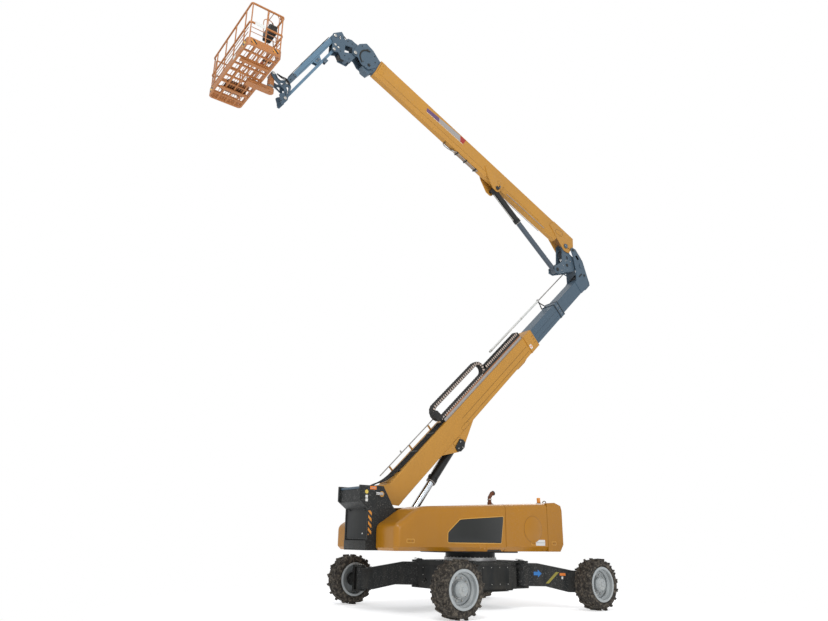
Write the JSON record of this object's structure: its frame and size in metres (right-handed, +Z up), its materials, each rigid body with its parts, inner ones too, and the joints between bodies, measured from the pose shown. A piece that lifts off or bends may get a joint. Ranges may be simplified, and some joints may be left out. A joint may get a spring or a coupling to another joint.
{
  "type": "articulating boom lift",
  "caption": "Self-propelled articulating boom lift with swing-out legs, slewing turntable, telescoping tower boom and main boom, jib and turning work platform.",
  "frame": {"origin": "on the ground under the slew axis", "axes": "+X towards the platform end of the machine, +Y to its left side, +Z up"},
  "size_m": [12.583, 4.601, 14.672],
  "materials": {
    "basket_paint": "satin",
    "beacon_amber": "gloss",
    "bearing_steel": "satin",
    "chain_plastic": "matte",
    "console_plastic": "matte",
    "cylinder_black": "satin",
    "dark_paint": "satin",
    "engine_metal": "satin",
    "ochre_cover": "gloss",
    "ochre_paint": "gloss",
    "rim_silver": "satin",
    "rod_chrome": "polished",
    "slate_paint": "satin",
    "tyre_rubber": "matte",
    "weight_iron": "gloss"
  },
  "bodies": {
    "chassis": {"chassis_frame": "dark_paint", "slew_bearing": "bearing_steel"},
    "leg_front_left": {"leg_front_left": "dark_paint"},
    "knuckle_front_left": {"knuckle_front_left": "dark_paint"},
    "wheel_front_left": {"rim_front_left": "rim_silver", "tyre_front_left": "tyre_rubber"},
    "leg_front_right": {"leg_front_right": "dark_paint"},
    "knuckle_front_right": {"knuckle_front_right": "dark_paint"},
    "wheel_front_right": {"rim_front_right": "rim_silver", "tyre_front_right": "tyre_rubber"},
    "leg_rear_left": {"leg_rear_left": "dark_paint"},
    "knuckle_rear_left": {"knuckle_rear_left": "dark_paint"},
    "wheel_rear_left": {"rim_rear_left": "rim_silver", "tyre_rear_left": "tyre_rubber"},
    "leg_rear_right": {"leg_rear_right": "dark_paint"},
    "knuckle_rear_right": {"knuckle_rear_right": "dark_paint"},
    "wheel_rear_right": {"rim_rear_right": "rim_silver", "tyre_rear_right": "tyre_rubber"},
    "turntable": {"turntable_frame": "dark_paint", "front_cover": "dark_paint", "counterweight": "weight_iron", "engine_block": "engine_metal", "beacon": "beacon_amber"},
    "hood_front_left": {"hood_front_left": "ochre_cover"},
    "hood_front_right": {"hood_front_right": "ochre_cover"},
    "hood_rear_left": {"hood_rear_left": "ochre_cover", "exhaust": "dark_paint"},
    "hood_rear_right": {"hood_rear_right": "ochre_cover"},
    "tower": {"tower_base": "ochre_paint", "energy_chain": "chain_plastic"},
    "tower_mid": {"tower_mid": "slate_paint"},
    "tower_tip": {"tower_tip": "slate_paint"},
    "upright": {"upright": "slate_paint"},
    "main_boom": {"main_boom": "ochre_paint"},
    "main_fly": {"main_fly": "slate_paint"},
    "jib_base": {"jib_base": "slate_paint"},
    "jib": {"jib_beam": "slate_paint"},
    "jib_link": {"jib_link": "slate_paint"},
    "jib_end": {"jib_end": "slate_paint"},
    "platform_mount": {"platform_mount": "basket_paint"},
    "platform": {"platform_floor": "basket_paint", "platform_arm": "basket_paint", "platform_rails_inner": "basket_paint", "platform_rails_outer": "basket_paint", "platform_rails_left": "basket_paint", "control_console": "console_plastic"},
    "gate": {"platform_gate": "basket_paint"},
    "tower_lift_barrel": {"tower_lift_barrel": "cylinder_black"},
    "tower_lift_rod": {"tower_lift_rod": "rod_chrome"},
    "main_lift_barrel": {"main_lift_barrel": "cylinder_black"},
    "main_lift_rod": {"main_lift_rod": "rod_chrome"}
  },
  "joints": [
    {"name": "leg_swing_front_left", "type": "hinge", "parent": "chassis", "child": "leg_front_left", "pos_m": [1.05, 0.68, 0.75], "axis": [0, 0, -1], "range_deg": [0, 40]},
    {"name": "steer_front_left", "type": "hinge", "parent": "leg_front_left", "child": "knuckle_front_left", "pos_m": [2.15, 1.6, 0.6], "axis": [0, 0, 1], "range_deg": [-35, 35]},
    {"name": "roll_front_left", "type": "hinge", "parent": "knuckle_front_left", "child": "wheel_front_left", "pos_m": [2.15, 2.078, 0.5775], "axis": [0, 1, 0], "continuous": true},
    {"name": "leg_swing_front_right", "type": "hinge", "parent": "chassis", "child": "leg_front_right", "pos_m": [1.05, -0.68, 0.75], "axis": [0, 0, 1], "range_deg": [0, 40]},
    {"name": "steer_front_right", "type": "hinge", "parent": "leg_front_right", "child": "knuckle_front_right", "pos_m": [2.15, -1.6, 0.6], "axis": [0, 0, 1], "range_deg": [-35, 35]},
    {"name": "roll_front_right", "type": "hinge", "parent": "knuckle_front_right", "child": "wheel_front_right", "pos_m": [2.15, -2.078, 0.5775], "axis": [0, 1, 0], "continuous": true},
    {"name": "leg_swing_rear_left", "type": "hinge", "parent": "chassis", "child": "leg_rear_left", "pos_m": [-1.05, 0.68, 0.75], "axis": [0, 0, 1], "range_deg": [0, 40]},
    {"name": "steer_rear_left", "type": "hinge", "parent": "leg_rear_left", "child": "knuckle_rear_left", "pos_m": [-2.15, 1.6, 0.6], "axis": [0, 0, 1], "range_deg": [-35, 35]},
    {"name": "roll_rear_left", "type": "hinge", "parent": "knuckle_rear_left", "child": "wheel_rear_left", "pos_m": [-2.15, 2.078, 0.5775], "axis": [0, 1, 0], "continuous": true},
    {"name": "leg_swing_rear_right", "type": "hinge", "parent": "chassis", "child": "leg_rear_right", "pos_m": [-1.05, -0.68, 0.75], "axis": [0, 0, -1], "range_deg": [0, 40]},
    {"name": "steer_rear_right", "type": "hinge", "parent": "leg_rear_right", "child": "knuckle_rear_right", "pos_m": [-2.15, -1.6, 0.6], "axis": [0, 0, 1], "range_deg": [-35, 35]},
    {"name": "roll_rear_right", "type": "hinge", "parent": "knuckle_rear_right", "child": "wheel_rear_right", "pos_m": [-2.15, -2.078, 0.5775], "axis": [0, 1, 0], "continuous": true},
    {"name": "slew", "type": "hinge", "parent": "chassis", "child": "turntable", "pos_m": [0, 0, 1.13], "axis": [0, 0, 1], "continuous": true},
    {"name": "hood_front_left_open", "type": "hinge", "parent": "turntable", "child": "hood_front_left", "pos_m": [1.5, 0.486, 2.16], "axis": [1, 0, 0], "range_deg": [0, 60]},
    {"name": "hood_rear_left_open", "type": "hinge", "parent": "turntable", "child": "hood_rear_left", "pos_m": [-0.76, 0.486, 2.3], "axis": [1, 0, 0], "range_deg": [0, 60]},
    {"name": "hood_front_right_open", "type": "hinge", "parent": "turntable", "child": "hood_front_right", "pos_m": [1.5, -0.486, 2.16], "axis": [-1, 0, 0], "range_deg": [0, 60]},
    {"name": "hood_rear_right_open", "type": "hinge", "parent": "turntable", "child": "hood_rear_right", "pos_m": [-0.76, -0.486, 2.3], "axis": [-1, 0, 0], "range_deg": [0, 60]},
    {"name": "tower_raise", "type": "hinge", "parent": "turntable", "child": "tower", "pos_m": [2.99, 0, 2.47], "axis": [0, 1, 0], "range_deg": [-43.9, 23]},
    {"name": "tower_mid_extend", "type": "slide", "parent": "tower", "child": "tower_mid", "axis": [-0.7206, 0, 0.6934], "range_m": [-1.38, 2.6]},
    {"name": "tower_tip_extend", "type": "slide", "parent": "tower_mid", "child": "tower_tip", "axis": [-0.7206, 0, 0.6934], "range_m": [-1.38, 2.6]},
    {"name": "upright_level", "type": "hinge", "parent": "tower_tip", "child": "upright", "pos_m": [-4.7575, 0, 10.07963], "axis": [0, 1, 0], "range_deg": [-10, 18]},
    {"name": "main_raise", "type": "hinge", "parent": "upright", "child": "main_boom", "pos_m": [-4.112, 0, 10.626], "axis": [0, -1, 0], "range_deg": [-35, 47]},
    {"name": "main_extend", "type": "slide", "parent": "main_boom", "child": "main_fly", "axis": [0.9191, 0, 0.3939], "range_m": [0, 5.4]},
    {"name": "jib_base_level", "type": "hinge", "parent": "main_fly", "child": "jib_base", "pos_m": [4.06, 0, 14.16], "axis": [0, -1, 0], "range_deg": [-48, 36]},
    {"name": "jib_raise", "type": "hinge", "parent": "jib_base", "child": "jib", "pos_m": [4.678, 0, 14.438], "axis": [0, -1, 0], "range_deg": [0, 130]},
    {"name": "jib_link_turn", "type": "hinge", "parent": "jib_base", "child": "jib_link", "pos_m": [4.689, 0, 13.983], "axis": [0, -1, 0], "range_deg": [-1, 131]},
    {"name": "jib_end_level", "type": "hinge", "parent": "jib", "child": "jib_end", "pos_m": [5.95436, 0, 12.28837], "axis": [0, -1, 0], "range_deg": [-131, 1]},
    {"name": "platform_level", "type": "hinge", "parent": "jib_end", "child": "platform_mount", "pos_m": [6.33, 0, 12.41], "axis": [0, 1, 0], "range_deg": [-15, 27]},
    {"name": "platform_turn", "type": "hinge", "parent": "platform_mount", "child": "platform", "pos_m": [6.33, 0, 11.9], "axis": [0, 0, 1], "range_deg": [-80, 80]},
    {"name": "gate_open", "type": "hinge", "parent": "platform", "child": "gate", "pos_m": [6.65, -1.197, 12.7], "axis": [0, 0, 1], "range_deg": [0, 78]},
    {"name": "tower_barrel_swing", "type": "hinge", "parent": "tower", "child": "tower_lift_barrel", "pos_m": [0.56824, 0, 3.73189], "axis": [0, 1, 0], "range_deg": [-2, 4]},
    {"name": "tower_rod_slide", "type": "slide", "parent": "tower_lift_barrel", "child": "tower_lift_rod", "axis": [0.6111, 0, -0.7915], "range_m": [-0.897, 0.475]},
    {"name": "main_barrel_swing", "type": "hinge", "parent": "main_boom", "child": "main_lift_barrel", "pos_m": [-1.13925, 0, 11.73693], "axis": [0, -1, 0], "range_deg": [-5, 4]},
    {"name": "main_rod_slide", "type": "slide", "parent": "main_lift_barrel", "child": "main_lift_rod", "axis": [-0.7856, 0, -0.6188], "range_m": [-0.558, 0.746]}
  ],
  "couplings": [
    {"joint": "tower_tip_extend", "follows": "tower_mid_extend", "ratio": 1},
    {"joint": "upright_level", "follows": "tower_raise", "ratio": -0.4},
    {"joint": "jib_base_level", "follows": "main_raise", "ratio": -1},
    {"joint": "jib_link_turn", "follows": "jib_raise", "ratio": 1},
    {"joint": "jib_end_level", "follows": "jib_raise", "ratio": -1},
    {"joint": "platform_level", "follows": "tower_raise", "ratio": -0.6},
    {"joint": "tower_barrel_swing", "follows": "tower_raise", "ratio": -0.075},
    {"joint": "tower_rod_slide", "follows": "tower_raise", "m_per_rad": 1.1572},
    {"joint": "main_barrel_swing", "follows": "main_raise", "ratio": -0.0932},
    {"joint": "main_rod_slide", "follows": "main_raise", "m_per_rad": 0.897}
  ]
}
